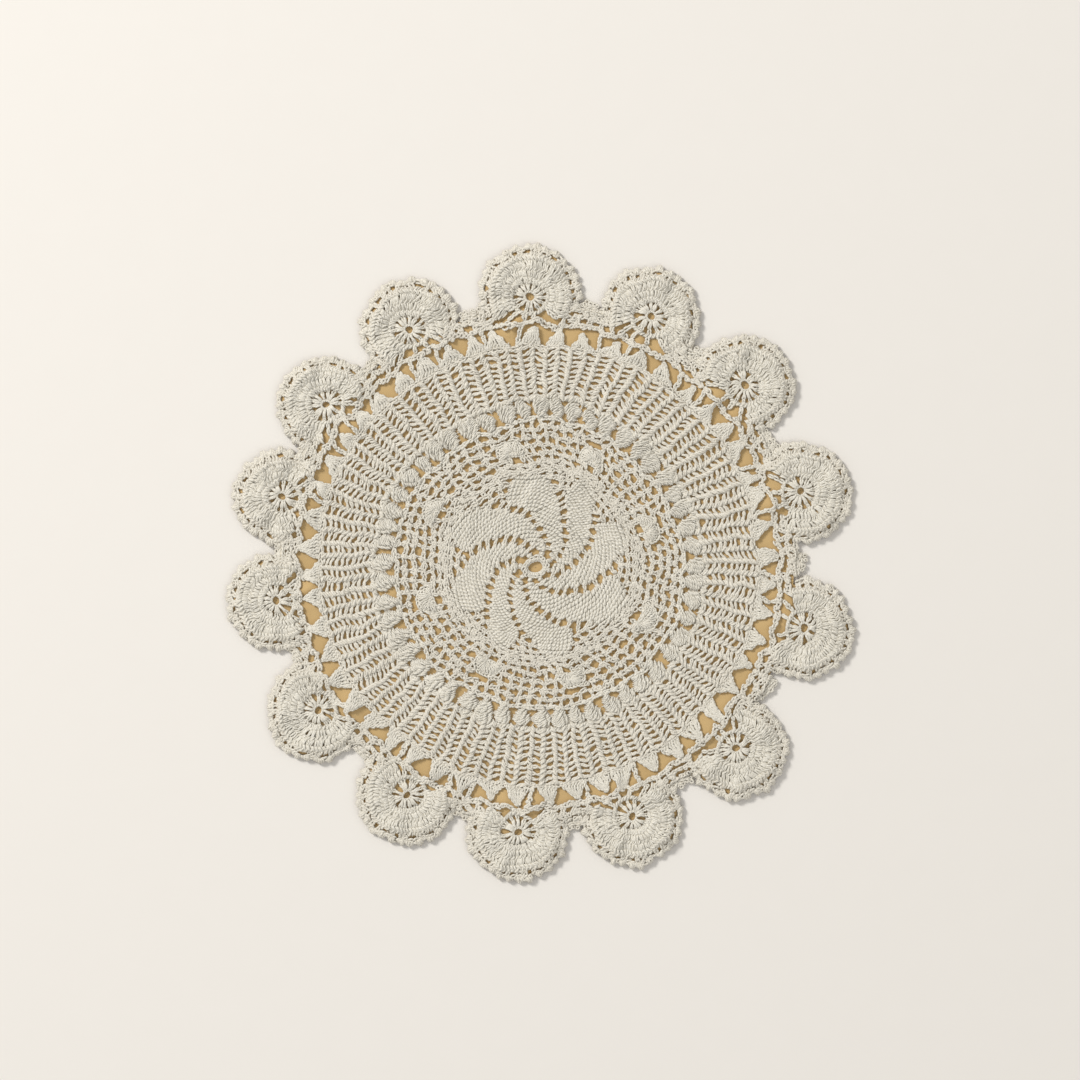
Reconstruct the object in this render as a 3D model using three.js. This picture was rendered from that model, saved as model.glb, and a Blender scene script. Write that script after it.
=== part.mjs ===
import * as THREE from "three";

// A round crocheted cotton doily, lying flat with its underside on z = 0.
// Lengths are millimetres. Angles are degrees, counter-clockwise from +X, seen from above.
// The cloth is worked in rounds from the centre out, and each round or motif is one slab.

// Space left between neighbouring slabs, and the sides of each full round's edge.
const SEAM_GAP = 0.4;
const ROUND_SIDES = 52;

// Centre ring, and the pinwheel of solid blades with a row of eyelets between each pair.
const PINWHEEL_HEIGHT = 2.2;
const PINWHEEL_OUTER = 48.4;
const CENTRE_RING = { inner: 2.75, outer: 5.85 };
const BLADE_COUNT = 8;
const BLADE_INNER = 7;
const BLADE_SHOULDER = { leading: 41.5, trailing: 36 };
const BLADE_TIP_TURN = 26;
const BLADE_TIP_STEPS = [8, 14, 20, BLADE_TIP_TURN];
const SPIRAL_START = -88;
const SPIRAL_TWIST = 21;
const EYELET_ROW_WIDTH = 3.4;
const EYELET_ROW_HEIGHT = 1.7;
const EYELETS_PER_ROW = 8;
const EYELET_FIRST_RADIUS = 8.6;
const EYELET_PITCH = 4.1;
const EYELET_LENGTH = 2.2;
const EYELET_WIDTH = 1.9;
const GUSSET_OPENINGS = [
  { radius: 42.6, turn: 32.5 },
  { radius: 45.8, turn: 36.5 },
  { radius: 45.6, turn: 43.5 },
];
const GUSSET_OPENING = 2;
const GUSSET_TURN = 14;
const GUSSET_CORNER_GAP = 1.5 * SEAM_GAP;
const GUSSET_SIDE_STEPS = [12, 8, 4];

// Open mesh around the pinwheel, with a fan motif set into it beyond each blade.
const MESH_OUTER = 71.7;
const MESH_HEIGHT = 1.8;
const MESH_EDGE_ROUNDS = [
  { radius: 51.4, count: 28 },
  { radius: 68.3, count: 28 },
];
const MESH_INNER_ROUNDS = [57.4, 63];
const MESH_OPENINGS_BETWEEN_FANS = 3;
const MESH_OPENING = 3;
const FAN_ANGLE = 17.5;
const FAN_BASE_RADIUS = 57;
const FAN_RADIUS = 7.4;
const FAN_HEIGHT = 2.4;
const FAN_EYE_WIDTH = 4.8;
const FAN_EYE_DEPTH = 3;

// Shell round: plump shells with a triangular gap between each pair.
const SHELL_COUNT = 52;
const SHELL_OUTER = 84.5;
const SHELL_HEIGHT = 3;
const SHELL_GAP = { innerRadius: 74.4, tipRadius: 80.6, halfAngle: 1.3 };

// Ribbed band: radial ridges, two to each shell.
const RIB_COUNT = 2 * SHELL_COUNT;
const RIB_OUTER = 110.7;
const RIB_HEIGHT = 2.8;
const RIB_VALLEY_HEIGHT = 1.8;

// Point round: triangular fans that stand on the ribs, with wide gaps between their tips.
const POINT_OUTER = 121.2;
const POINT_HEIGHT = 2.3;
const POINT_GAP = { tipRadius: 112.1, outerRadius: 120, halfAngle: 2.1 };

// Net of chain loops that carries the medallions, with a cusp that fills the valley between two.
const NET_OUTER = 127;
const NET_CUSP_RADIUS = 134;
const NET_CUSP_HALF_WIDTH = 0.5;
const NET_HEIGHT = 1.7;
const NET_OPENING_COUNT = 28;
const NET_OPENING = { length: 2.9, width: 6.6, phase: 0.3 };

// Medallions of the scalloped edge. Their spacing drifts, as it does in hand work.
const MEDALLION_COUNT = 14;
const MEDALLION_FIRST_ANGLE = 11.6;
const MEDALLION_CENTRE_RADIUS = 135.5;
const MEDALLION_MAX_RADIUS = 26.5;
const MEDALLION_HEIGHT = 3.4;
const MEDALLION_SIDES = 16;
const MEDALLION_EYE_RADIUS = 1.7;
const MEDALLION_EYE_SIDES = 6;
const MEDALLION_EYELETS = 5;
const MEDALLION_EYELET = { innerRadius: 6.2, tipRadius: 8.8, halfAngle: 9 };
const EDGING_WIDTH = 6.5;
const EDGING_HEIGHT = 2.7;
const EDGING_SIDES = 13;
const ANGLE_DRIFT = [
  { waves: 1, size: 4.3, peak: 71 },
  { waves: 3, size: 1.6, peak: 11.5 },
];
const RADIUS_DRIFT = { size: 2.2, peak: 25 };

const FULL_TURN = 360;
const radians = THREE.MathUtils.degToRad;
const degrees = THREE.MathUtils.radToDeg;

const cotton = (colour) =>
  new THREE.MeshStandardMaterial({ color: colour, roughness: 0.95, metalness: 0 });
const openCotton = cotton(0xcdc5b3);
const denseCotton = cotton(0xd8d2c4);

function polar(radius, angle) {
  return new THREE.Vector2(radius * Math.cos(radians(angle)), radius * Math.sin(radians(angle)));
}

// Points on an arc about a centre, both ends included.
function arc(radius, fromAngle, toAngle, steps, centre = new THREE.Vector2()) {
  const points = [];
  for (let step = 0; step <= steps; step += 1) {
    const angle = fromAngle + ((toAngle - fromAngle) * step) / steps;
    points.push(polar(radius, angle).add(centre));
  }
  return points;
}

function circle(radius, sides, centre) {
  return arc(radius, 0, FULL_TURN, sides, centre).slice(0, -1);
}

// A box-shaped opening whose sides run along and across the radius at its middle.
function radialOpening(radius, angle, length, width) {
  const outward = polar(1, angle);
  const across = polar(1, angle + 90);
  const middle = polar(radius, angle);
  const corner = (alongSide, acrossSide) =>
    middle
      .clone()
      .addScaledVector(outward, (alongSide * length) / 2)
      .addScaledVector(across, (acrossSide * width) / 2);
  return [corner(-1, -1), corner(1, -1), corner(1, 1), corner(-1, 1)];
}

function slab(name, material, height, outline, openings = []) {
  const shape = new THREE.Shape(outline);
  shape.holes = openings.map((points) => new THREE.Path(points));
  const geometry = new THREE.ExtrudeGeometry(shape, { depth: height, bevelEnabled: false });
  const mesh = new THREE.Mesh(geometry, material);
  mesh.name = name;
  return mesh;
}

function roundSlab(name, material, height, innerRadius, outerRadius, openings = []) {
  const outline = circle(outerRadius, ROUND_SIDES);
  return slab(name, material, height, outline, [circle(innerRadius, ROUND_SIDES), ...openings]);
}

// Angle of the middle of an eyelet row: it winds counter-clockwise on its way out.
function spiralAngle(row, radius) {
  return SPIRAL_START + (row * FULL_TURN) / BLADE_COUNT + SPIRAL_TWIST * Math.sqrt(radius);
}

// A point beside an eyelet row's middle line, the given distance square to the line.
function besideSpiral(row, radius, distance) {
  const slope = radians(SPIRAL_TWIST) * 0.5 * Math.sqrt(radius);
  const turn = (distance * Math.hypot(1, slope)) / radius;
  return polar(radius, spiralAngle(row, radius) + degrees(turn));
}

function alongSpiral(row, fromRadius, toRadius, distance, steps) {
  const points = [];
  for (let step = 0; step <= steps; step += 1) {
    const radius = fromRadius + ((toRadius - fromRadius) * step) / steps;
    points.push(besideSpiral(row, radius, distance));
  }
  return points;
}

// The blade's tip swells outward over its turn past the shoulder of the leading side.
function tipPoint(index, turn, clearance = 0) {
  const { leading } = BLADE_SHOULDER;
  const rise = (PINWHEEL_OUTER - leading) * Math.sin(radians((90 * turn) / BLADE_TIP_TURN));
  return polar(leading + rise + clearance, spiralAngle(index, leading) + turn);
}

function pinwheelBlade(index) {
  const sideSteps = 9;
  const offset = EYELET_ROW_WIDTH / 2 + SEAM_GAP;
  const leading = alongSpiral(index, BLADE_INNER, BLADE_SHOULDER.leading, offset, sideSteps);
  const trailing = alongSpiral(index + 1, BLADE_SHOULDER.trailing, BLADE_INNER, -offset, sideSteps);
  const tip = BLADE_TIP_STEPS.map((turn) => tipPoint(index, turn));
  const outline = [...leading, ...tip, ...trailing];
  return slab(`pinwheel_blade_${index + 1}`, denseCotton, PINWHEEL_HEIGHT, outline);
}

// A strip of eyelets that opens out at its end into a gusset of mesh between two blade tips.
function eyeletRow(index) {
  const sideSteps = 8;
  const endSteps = 6;
  const half = EYELET_ROW_WIDTH / 2;
  const start = CENTRE_RING.outer + SEAM_GAP;
  const { leading, trailing } = BLADE_SHOULDER;
  const cornerTurn = BLADE_TIP_TURN + degrees(GUSSET_CORNER_GAP / PINWHEEL_OUTER);
  const endTurn = FULL_TURN / BLADE_COUNT + GUSSET_TURN;
  const lastBlade = spiralAngle(index - 1, leading);
  const outline = [
    ...alongSpiral(index, start, trailing + SEAM_GAP, -half, sideSteps),
    ...arc(PINWHEEL_OUTER, lastBlade + cornerTurn, lastBlade + endTurn, endSteps),
    ...GUSSET_SIDE_STEPS.map((turn) => tipPoint(index, turn, SEAM_GAP)),
    ...alongSpiral(index, leading, start, half, sideSteps),
  ];
  const eyelets = GUSSET_OPENINGS.map(({ radius, turn }) =>
    radialOpening(radius, lastBlade + turn, GUSSET_OPENING, GUSSET_OPENING),
  );
  for (let eyelet = 0; eyelet < EYELETS_PER_ROW; eyelet += 1) {
    const middle = EYELET_FIRST_RADIUS + eyelet * EYELET_PITCH;
    const nearEnd = middle - EYELET_LENGTH / 2;
    const farEnd = middle + EYELET_LENGTH / 2;
    eyelets.push([
      besideSpiral(index, nearEnd, -EYELET_WIDTH / 2),
      besideSpiral(index, farEnd, -EYELET_WIDTH / 2),
      besideSpiral(index, farEnd, EYELET_WIDTH / 2),
      besideSpiral(index, nearEnd, EYELET_WIDTH / 2),
    ]);
  }
  return slab(`eyelet_row_${index + 1}`, openCotton, EYELET_ROW_HEIGHT, outline, eyelets);
}

function fanAngle(index) {
  return FAN_ANGLE + (index * FULL_TURN) / BLADE_COUNT;
}

function fanMotif(index) {
  const sides = 10;
  const angle = fanAngle(index);
  const outline = arc(FAN_RADIUS, angle - 90, angle + 90, sides, polar(FAN_BASE_RADIUS, angle));
  return slab(`fan_motif_${index + 1}`, denseCotton, FAN_HEIGHT, outline);
}

// The opening in the mesh that a fan motif fills, with the fan's own eye below its base.
function fanWindow(index) {
  const sides = 10;
  const angle = fanAngle(index);
  const centre = polar(FAN_BASE_RADIUS - SEAM_GAP, angle);
  const eye = radialOpening(
    FAN_BASE_RADIUS - SEAM_GAP - FAN_EYE_DEPTH / 2,
    angle,
    FAN_EYE_DEPTH,
    FAN_EYE_WIDTH,
  );
  const [eyeRight, baseRight, baseLeft, eyeLeft] = eye;
  const rim = arc(FAN_RADIUS + 2 * SEAM_GAP, angle - 90, angle + 90, sides, centre);
  return [...rim, baseLeft, eyeLeft, eyeRight, baseRight];
}

function meshGround() {
  const openings = [];
  for (const { radius, count } of MESH_EDGE_ROUNDS) {
    for (let index = 0; index < count; index += 1) {
      const angle = FAN_ANGLE + ((index + 0.5) * FULL_TURN) / count;
      openings.push(radialOpening(radius, angle, MESH_OPENING, MESH_OPENING));
    }
  }
  for (let fan = 0; fan < BLADE_COUNT; fan += 1) {
    openings.push(fanWindow(fan));
    const middleAngle = fanAngle(fan) + FULL_TURN / BLADE_COUNT / 2;
    for (const radius of MESH_INNER_ROUNDS) {
      const pitch = degrees((2 * MESH_OPENING) / radius);
      for (let index = 0; index < MESH_OPENINGS_BETWEEN_FANS; index += 1) {
        const angle = middleAngle + (index - (MESH_OPENINGS_BETWEEN_FANS - 1) / 2) * pitch;
        openings.push(radialOpening(radius, angle, MESH_OPENING, MESH_OPENING));
      }
    }
  }
  const inner = PINWHEEL_OUTER + SEAM_GAP;
  return roundSlab("mesh_ground", openCotton, MESH_HEIGHT, inner, MESH_OUTER, openings);
}

function shellRound() {
  const gaps = [];
  for (let index = 0; index < SHELL_COUNT; index += 1) {
    const angle = ((index + 0.5) * FULL_TURN) / SHELL_COUNT;
    gaps.push([
      polar(SHELL_GAP.innerRadius, angle - SHELL_GAP.halfAngle),
      polar(SHELL_GAP.innerRadius, angle + SHELL_GAP.halfAngle),
      polar(SHELL_GAP.tipRadius, angle),
    ]);
  }
  const inner = MESH_OUTER + SEAM_GAP;
  return roundSlab("shell_round", denseCotton, SHELL_HEIGHT, inner, SHELL_OUTER, gaps);
}

// A flat-bottomed ring whose top rises to a ridge and falls to a valley around the band.
function ribRound() {
  const inner = SHELL_OUTER + SEAM_GAP;
  const profile = [
    new THREE.Vector2(RIB_OUTER, 0),
    new THREE.Vector2(RIB_OUTER, RIB_HEIGHT),
    new THREE.Vector2(inner, RIB_HEIGHT),
    new THREE.Vector2(inner, 0),
    new THREE.Vector2(RIB_OUTER, 0),
  ];
  const geometry = new THREE.LatheGeometry(profile, 2 * RIB_COUNT);
  const position = geometry.getAttribute("position");
  for (let vertex = 0; vertex < position.count; vertex += 1) {
    const isValley = Math.floor(vertex / profile.length) % 2 === 1;
    if (isValley && position.getY(vertex) > 0) {
      position.setY(vertex, RIB_VALLEY_HEIGHT);
    }
  }
  geometry.rotateX(Math.PI / 2);
  const mesh = new THREE.Mesh(geometry, openCotton);
  mesh.name = "rib_round";
  return mesh;
}

function pointRound() {
  const gaps = [];
  for (let index = 0; index < SHELL_COUNT; index += 1) {
    const angle = ((index + 0.5) * FULL_TURN) / SHELL_COUNT;
    gaps.push([
      polar(POINT_GAP.tipRadius, angle),
      polar(POINT_GAP.outerRadius, angle + POINT_GAP.halfAngle),
      polar(POINT_GAP.outerRadius, angle - POINT_GAP.halfAngle),
    ]);
  }
  const inner = RIB_OUTER + SEAM_GAP;
  return roundSlab("point_round", denseCotton, POINT_HEIGHT, inner, POINT_OUTER, gaps);
}

// The net's edge from one valley to the next: down the near side of a medallion's circle,
// along the net's own round below the medallion, and up the circle's far side.
function netEdge(index) {
  const cuspSteps = 3;
  const roundSteps = 4;
  const { angle, distance, radius, before, after, centre } = medallionPlace(index);
  const circleRadius = radius + SEAM_GAP;
  const foot = turnAt(NET_OUTER, distance, circleRadius);
  const top = turnAt(NET_CUSP_RADIUS, distance, circleRadius);
  const topBefore = Math.max(top, cuspTurn(distance, circleRadius, before / 2));
  const topAfter = Math.max(top, cuspTurn(distance, circleRadius, after / 2));
  const down = arc(circleRadius, angle - topBefore, angle - foot, cuspSteps, centre);
  const up = arc(circleRadius, angle + foot, angle + topAfter, cuspSteps, centre);
  const span = degrees(down.at(-1).angleTo(up[0]));
  const along = arc(NET_OUTER, angle - span / 2, angle + span / 2, roundSteps);
  return [...down, ...along.slice(1, -1), ...up];
}

function netRound() {
  const inner = POINT_OUTER + SEAM_GAP;
  const middle = (inner + NET_OUTER) / 2;
  const openings = [circle(inner, ROUND_SIDES)];
  for (let index = 0; index < NET_OPENING_COUNT; index += 1) {
    const angle = ((index + NET_OPENING.phase) * FULL_TURN) / NET_OPENING_COUNT;
    openings.push(radialOpening(middle, angle, NET_OPENING.length, NET_OPENING.width));
  }
  const outline = copies(MEDALLION_COUNT, netEdge).flat();
  return slab("net_round", openCotton, NET_HEIGHT, outline, openings);
}

function medallionAngle(index) {
  const even = MEDALLION_FIRST_ANGLE + (index * FULL_TURN) / MEDALLION_COUNT;
  let drift = 0;
  for (const { waves, size, peak } of ANGLE_DRIFT) {
    drift += size * Math.cos(radians(waves * (even - peak)));
  }
  return even + drift;
}

// Where a medallion sits, and how large it can be between its two neighbours.
function medallionPlace(index) {
  const angle = medallionAngle(index);
  const before = angle - medallionAngle(index - 1);
  const after = medallionAngle(index + 1) - angle;
  const drift = RADIUS_DRIFT.size * Math.cos(radians(angle - RADIUS_DRIFT.peak));
  const distance = MEDALLION_CENTRE_RADIUS + drift;
  const room = distance * Math.sin(radians(Math.min(before, after) / 2)) - SEAM_GAP / 2;
  const radius = Math.min(MEDALLION_MAX_RADIUS, room);
  return { angle, distance, radius, before, after, centre: polar(distance, angle) };
}

// How far from the outward direction a circle about a medallion's centre runs before it
// comes in to the given distance from the doily's centre.
function turnAt(polarRadius, distance, radius) {
  const cosine = (polarRadius ** 2 - distance ** 2 - radius ** 2) / (2 * distance * radius);
  return degrees(Math.acos(cosine));
}

// How far round the circle a cusp can start and still be as wide as it has to be.
function cuspTurn(distance, radius, halfSpacing) {
  const sine = (distance * Math.sin(radians(halfSpacing)) - NET_CUSP_HALF_WIDTH) / radius;
  return sine >= 1 ? 0 : FULL_TURN / 2 - degrees(Math.asin(sine)) + halfSpacing;
}

function scallopMedallion(index) {
  const netSteps = 4;
  const { angle, distance, radius, centre } = medallionPlace(index);
  const rim = radius - EDGING_WIDTH - SEAM_GAP;
  const netSide = NET_OUTER + SEAM_GAP;
  const turn = turnAt(netSide, distance, rim);
  const outer = arc(rim, angle - turn, angle + turn, MEDALLION_SIDES, centre);
  const netSpan = degrees(outer[0].angleTo(outer.at(-1)));
  const closing = arc(netSide, angle + netSpan / 2, angle - netSpan / 2, netSteps);
  const openings = [circle(MEDALLION_EYE_RADIUS, MEDALLION_EYE_SIDES, centre)];
  for (let eyelet = 0; eyelet < MEDALLION_EYELETS; eyelet += 1) {
    const spread = ((eyelet - (MEDALLION_EYELETS - 1) / 2) * 2 * turn) / MEDALLION_EYELETS;
    const direction = angle + spread;
    const { innerRadius, tipRadius, halfAngle } = MEDALLION_EYELET;
    openings.push([
      polar(innerRadius, direction - halfAngle).add(centre),
      polar(innerRadius, direction + halfAngle).add(centre),
      polar(tipRadius, direction).add(centre),
    ]);
  }
  const outline = [...outer, ...closing.slice(1, -1)];
  const name = `scallop_medallion_${index + 1}`;
  return slab(name, denseCotton, MEDALLION_HEIGHT, outline, openings);
}

function scallopEdging(index) {
  const { angle, distance, radius, centre } = medallionPlace(index);
  const inner = radius - EDGING_WIDTH;
  const outerTurn = turnAt(NET_OUTER + SEAM_GAP, distance, radius);
  const innerTurn = turnAt(NET_OUTER + SEAM_GAP, distance, inner);
  const outline = [
    ...arc(radius, angle - outerTurn, angle + outerTurn, EDGING_SIDES, centre),
    ...arc(inner, angle + innerTurn, angle - innerTurn, EDGING_SIDES, centre),
  ];
  return slab(`scallop_edging_${index + 1}`, openCotton, EDGING_HEIGHT, outline);
}

function centreRing() {
  const sides = 24;
  const outline = circle(CENTRE_RING.outer, sides);
  const eye = circle(CENTRE_RING.inner, sides);
  return slab("centre_ring", denseCotton, PINWHEEL_HEIGHT, outline, [eye]);
}

function copies(count, build) {
  return Array.from({ length: count }, (_, index) => build(index));
}

const doily = new THREE.Group();
doily.add(
  centreRing(),
  ...copies(BLADE_COUNT, pinwheelBlade),
  ...copies(BLADE_COUNT, eyeletRow),
  ...copies(BLADE_COUNT, fanMotif),
  meshGround(),
  shellRound(),
  ribRound(),
  pointRound(),
  netRound(),
  ...copies(MEDALLION_COUNT, scallopMedallion),
  ...copies(MEDALLION_COUNT, scallopEdging),
);

// The drift leaves the pinwheel slightly off the middle of the outline, and the
// outline's middle is the origin.
const middle = new THREE.Box3().setFromObject(doily).getCenter(new THREE.Vector3());
doily.position.set(-middle.x, -middle.y, 0);

export default doily;
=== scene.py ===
import math

import bpy
import numpy as np
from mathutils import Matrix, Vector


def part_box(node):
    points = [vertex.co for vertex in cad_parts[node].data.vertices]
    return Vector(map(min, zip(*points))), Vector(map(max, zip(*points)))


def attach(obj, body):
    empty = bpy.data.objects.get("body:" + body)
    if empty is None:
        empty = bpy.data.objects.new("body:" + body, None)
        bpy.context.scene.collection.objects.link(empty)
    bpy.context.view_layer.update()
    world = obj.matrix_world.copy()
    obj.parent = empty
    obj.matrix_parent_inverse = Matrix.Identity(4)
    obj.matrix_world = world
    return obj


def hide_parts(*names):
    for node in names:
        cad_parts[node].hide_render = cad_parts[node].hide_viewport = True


# A round crocheted cotton doily, built stitch by stitch from thread.
# Lengths are millimetres from the middle of the pinwheel, except that materials, lights and
# the width of the view are in metres. Angles are degrees, counter-clockwise from +X, seen
# from above.

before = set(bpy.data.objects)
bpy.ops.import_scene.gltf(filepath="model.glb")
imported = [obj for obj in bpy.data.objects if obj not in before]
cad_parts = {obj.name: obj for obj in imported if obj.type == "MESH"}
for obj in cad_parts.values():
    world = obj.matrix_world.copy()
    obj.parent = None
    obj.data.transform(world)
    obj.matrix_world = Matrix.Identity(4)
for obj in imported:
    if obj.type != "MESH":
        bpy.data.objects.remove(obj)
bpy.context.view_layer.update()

MM = 0.001
THREAD = 0.42
SIDES = 5
MAX_TRIANGLES = 150_000
rng = np.random.default_rng(1906)


def span(node):
    low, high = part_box(node)
    return np.array(low) / MM, np.array(high) / MM


ring_low, ring_high = span("centre_ring")
CENTRE = (ring_low[:2] + ring_high[:2]) / 2
RING_OUTER = (ring_high[0] - ring_low[0]) / 2


def outer_radius(node):
    low, high = span(node)
    return (high[0] - low[0]) / 2


MESH_OUTER = outer_radius("mesh_ground")
SHELL_OUTER = outer_radius("shell_round")
RIB_OUTER = outer_radius("rib_round")
POINT_OUTER = outer_radius("point_round")
NET_OUTER = POINT_OUTER + 5.8


def node_points(node):
    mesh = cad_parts[node].data
    flat = np.zeros(len(mesh.vertices) * 3)
    mesh.vertices.foreach_get("co", flat)
    return flat.reshape(-1, 3)[:, :2] / MM - CENTRE


def medallion_place(index):
    """Centre and outer radius of a medallion, from the circle its edging's outer side lies on."""
    points = np.unique(np.round(node_points(f"scallop_edging_{index}"), 3), axis=0)
    centre = points.mean(0)
    for _ in range(60):
        away = np.hypot(*(points - centre).T)
        rim = points[away > np.median(away)]
        terms = np.column_stack([2 * rim, np.ones(len(rim))])
        fit = np.linalg.lstsq(terms, (rim**2).sum(1), rcond=None)[0]
        centre = fit[:2]
    return centre, math.sqrt(fit[2] + centre @ centre)


def polar(radius, angle, centre=(0.0, 0.0)):
    turn = np.radians(angle)
    x = centre[0] + radius * np.cos(turn)
    y = centre[1] + radius * np.sin(turn)
    return np.stack(np.broadcast_arrays(x, y), -1)


def direction(angle):
    return np.array([math.cos(math.radians(angle)), math.sin(math.radians(angle))])


# ---------------------------------------------------------------- how the cloth lies


class Waves:
    """A smooth random field over the plane, about one unit high."""

    def __init__(self, shortest, longest, count=9):
        heading = rng.uniform(0, 2 * math.pi, count)
        length = rng.uniform(shortest, longest, count)
        self.x = 2 * math.pi * np.cos(heading) / length
        self.y = 2 * math.pi * np.sin(heading) / length
        self.phase = rng.uniform(0, 2 * math.pi, count)
        self.share = 1.6 / count

    def __call__(self, x, y):
        total = np.zeros_like(x)
        for kx, ky, phase in zip(self.x, self.y, self.phase):
            total += np.sin(kx * x + ky * y + phase)
        return total * self.share


# How the pinwheel's eyelet rows stray from an even spacing: waves round the doily, how many
# degrees each one reaches and where it peaks. A Fourier fit to the eight rows gave them.
DRIFT = ((1, 1.9, -96.6), (2, 5.0, 16.4))

# Heights that the cloth lifts by, and reaches that it is pulled sideways by.
SWELL_HEIGHT = 0.6
PUCKER_HEIGHT = 0.6
RUFFLE_HEIGHT = 0.4
DOME_HEIGHT = 0.7
FOLD_HEIGHT = 0.8
LEAST_LIFT = 0.02
ROAM_REACH = 2.3
PULL_REACH = 1.15
TUG_REACH = 0.42

roam_x, roam_y = Waves(70, 130, 5), Waves(70, 130, 5)
pull_x, pull_y = Waves(16, 45), Waves(16, 45)
tug_x, tug_y = Waves(5, 9), Waves(5, 9)
swell, pucker, ruffle = Waves(30, 70), Waves(12, 26), Waves(7, 13)


def lie(points):
    """Moves worked thread to where it lies: pulled about a little, domed and puckered."""
    x, y, z = points[..., 0], points[..., 1], points[..., 2]
    r = np.hypot(x, y)
    outward = np.clip((r - 20) / 90, 0, 1)
    rim = np.clip((r - NET_OUTER) / 20, 0, 1)
    lift = SWELL_HEIGHT * outward * (1 + swell(x, y)) + PUCKER_HEIGHT * (1 + pucker(x, y))
    lift += rim * RUFFLE_HEIGHT * (1 + ruffle(x, y))
    inmost = np.full(x.shape, 9.0)
    for index, (centre, radius) in enumerate(medallions):
        away = np.hypot(x - centre[0], y - centre[1]) / radius
        around = np.arctan2(y - centre[1], x - centre[0])
        inmost = np.minimum(inmost, away)
        fold = np.sin(around * (6 + index % 4) + 2.4 * index) + np.sin(around * 4 + index)
        near = np.clip((away - 0.3) / 0.3, 0, 1) * np.clip((1 - away) / 0.3, 0, 1)
        lift += DOME_HEIGHT * np.clip(1 - away**2, 0, 1) + FOLD_HEIGHT * (fold + 1.0) * near
    # The scalloped edge lies down on what is under it.
    lift *= np.where(r > NET_OUTER + 3, np.clip((1.02 - inmost) / 0.22, 0.12, 1), 1)
    lift = np.maximum(lift, LEAST_LIFT)
    moved = np.empty_like(points)
    roam = ROAM_REACH * np.clip((150 - r) / 60, 0.15, 1)
    sway_x = roam * roam_x(x, y) + PULL_REACH * pull_x(x, y) + TUG_REACH * tug_x(x, y)
    sway_y = roam * roam_y(x, y) + PULL_REACH * pull_y(x, y) + TUG_REACH * tug_y(x, y)
    turn = np.degrees(np.arctan2(y, x))
    twist = sum(size * np.cos(np.radians(waves * (turn - peak))) for waves, size, peak in DRIFT)
    twist = np.radians(twist * np.clip((62 - r) / 16, 0, 1))
    moved[..., 0] = x * np.cos(twist) - y * np.sin(twist) + sway_x
    moved[..., 1] = x * np.sin(twist) + y * np.cos(twist) + sway_y
    moved[..., 2] = z + lift
    return moved


# ---------------------------------------------------------------- thread


class Yarn:
    """All the thread of one piece, as batches of strands with the same number of points."""

    def __init__(self):
        self.batches = []

    def add(self, x, y, z, radius=THREAD, closed=False):
        paths = np.stack(np.broadcast_arrays(x, y, z), -1)
        paths = paths.reshape(-1, paths.shape[-2], 3)
        thick = np.broadcast_to(radius, len(paths)) * rng.uniform(0.9, 1.1, len(paths))
        self.batches.append((paths, thick, closed))

    def add_flat(self, xy, z, radius=THREAD, closed=False):
        self.add(xy[..., 0], xy[..., 1], z, radius, closed)


class Track:
    """A line that stitches are worked along, measured by its length."""

    def __init__(self, points, closed=False):
        points = np.asarray(points, float)
        if closed:
            points = np.vstack([points, points[:1]])
        step = np.hypot(*np.diff(points, axis=0).T)
        self.s = np.concatenate([[0], np.cumsum(step)])
        self.length = self.s[-1]
        self.closed = closed
        self.points = points
        if closed:
            around = np.vstack([points[-2:-1], points, points[1:2]])
            along = around[2:] - around[:-2]
        else:
            along = np.gradient(points, axis=0)
        along /= np.maximum(np.hypot(*along.T), 1e-9)[:, None]
        self.left = np.column_stack([-along[:, 1], along[:, 0]])

    def at(self, s, side=0.0):
        s, side = np.broadcast_arrays(s, side)
        inside = s % self.length if self.closed else np.clip(s, 0, self.length)
        over = 0 if self.closed else s - inside
        x, y = (np.interp(inside, self.s, self.points[:, axis]) for axis in (0, 1))
        nx, ny = (np.interp(inside, self.s, self.left[:, axis]) for axis in (0, 1))
        return np.stack([x + side * nx + over * ny, y + side * ny - over * nx], -1)


def ring_track(radius, centre=(0.0, 0.0)):
    count = max(24, int(radius * 6))
    return Track(polar(radius, np.arange(count) * 360 / count, centre), closed=True)


def arc_track(radius, start, end, centre=(0.0, 0.0)):
    count = max(8, int(abs(end - start) * radius / 30))
    return Track(polar(radius, np.linspace(start, end, count), centre))


def wobble(size, shape):
    return rng.normal(0, size, shape)


def chain(yarn, track, pitch=2.1, width=1.6, z=0.8, lift=0.5, radius=0.52, loose=0.08):
    """A row of interlocked V stitches: two lines of plump slanted loops."""
    count = max(1, round(track.length / pitch))
    pitch = track.length / count
    u = np.linspace(0, 1, 6)
    middle = ((np.arange(count) + 0.5) * pitch)[:, None]
    for hand in (-1, 1):
        s = middle + pitch * (u - 0.5) * 1.3 + wobble(loose * pitch, (count, 1))
        splay = 1 + wobble(1.5 * loose, (count, 1))
        side = hand * width * splay * (0.03 + 0.37 * np.sin(0.72 * math.pi * u))
        xy = track.at(s, side + wobble(loose * width / 2, (count, 1)))
        height = z + lift * np.sin(math.pi * u) ** 0.8 * (1 + wobble(0.12, (count, 1)))
        yarn.add_flat(xy, height + wobble(0.05, (count, 1)), radius)


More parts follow.
